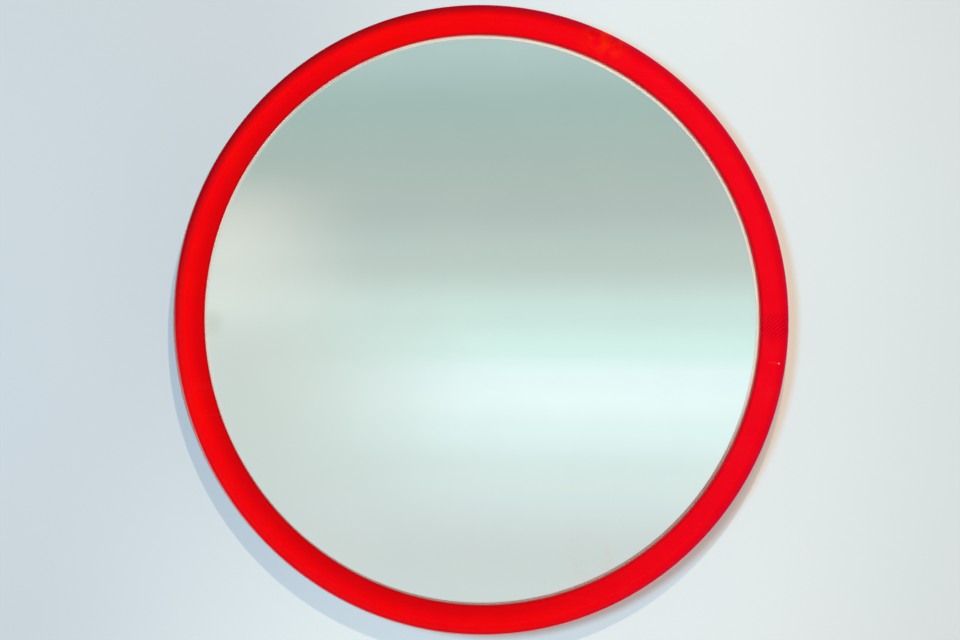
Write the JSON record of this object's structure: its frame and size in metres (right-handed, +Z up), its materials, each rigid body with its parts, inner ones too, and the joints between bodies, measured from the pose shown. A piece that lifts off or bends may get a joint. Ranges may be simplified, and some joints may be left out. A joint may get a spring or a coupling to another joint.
{
  "type": "traffic convex mirror",
  "caption": "Round convex mirror in a red moulded rim, on a wall bracket that pans and tilts.",
  "frame": {"origin": "centre of the wall plate's back face, on the wall", "axes": "+Z up, -Y out of the wall the way the mirror faces, +X to the viewer's right"},
  "size_m": [0.5999, 0.1254, 0.6],
  "materials": {
    "red_rim": "glossy moulded red, slightly orange-peeled, with fine scuffs",
    "mirror_acrylic": "silvered acrylic, slightly soft reflection, faint green tint",
    "seal_rubber": "matt pale grey rubber",
    "cover_plastic": "fine textured dark grey plastic",
    "galvanised": "hot-dip galvanised, soft spangle",
    "zinc_fastener": "bright zinc plated",
    "spring_steel": "phosphated spring steel",
    "cast_knuckle": "galvanised casting",
    "nylon_bush": "natural nylon",
    "pad_rubber": "black rubber"
  },
  "bodies": {
    "wall_bracket": {"wall_plate": "galvanised", "pan_yoke": "galvanised", "pan_bolt": "zinc_fastener", "pan_washers": "zinc_fastener", "pan_disc_springs": "spring_steel", "pan_nut": "zinc_fastener"},
    "swivel": {"knuckle": "cast_knuckle", "pan_bushes": "nylon_bush", "tilt_bushes": "nylon_bush"},
    "head": {"head_bracket": "galvanised", "tilt_bolt": "zinc_fastener", "tilt_washers": "zinc_fastener", "tilt_disc_springs": "spring_steel", "tilt_nut": "zinc_fastener", "bracket_pad": "pad_rubber", "bracket_bolts": "zinc_fastener", "bracket_washers": "zinc_fastener", "bracket_nuts": "zinc_fastener", "backplate": "galvanised", "rear_cover": "cover_plastic", "cover_screws": "zinc_fastener", "mirror_face": "mirror_acrylic", "edge_seal": "seal_rubber", "rim_frame": "red_rim"}
  },
  "joints": [
    {"name": "pan", "type": "hinge", "parent": "wall_bracket", "child": "swivel", "pos_m": [0, -0.034, 0], "axis": [0, 0, 1], "range_deg": [-14, 14]},
    {"name": "tilt", "type": "hinge", "parent": "swivel", "child": "head", "pos_m": [0, -0.06, 0], "axis": [1, 0, 0], "range_deg": [-5, 10]}
  ]
}
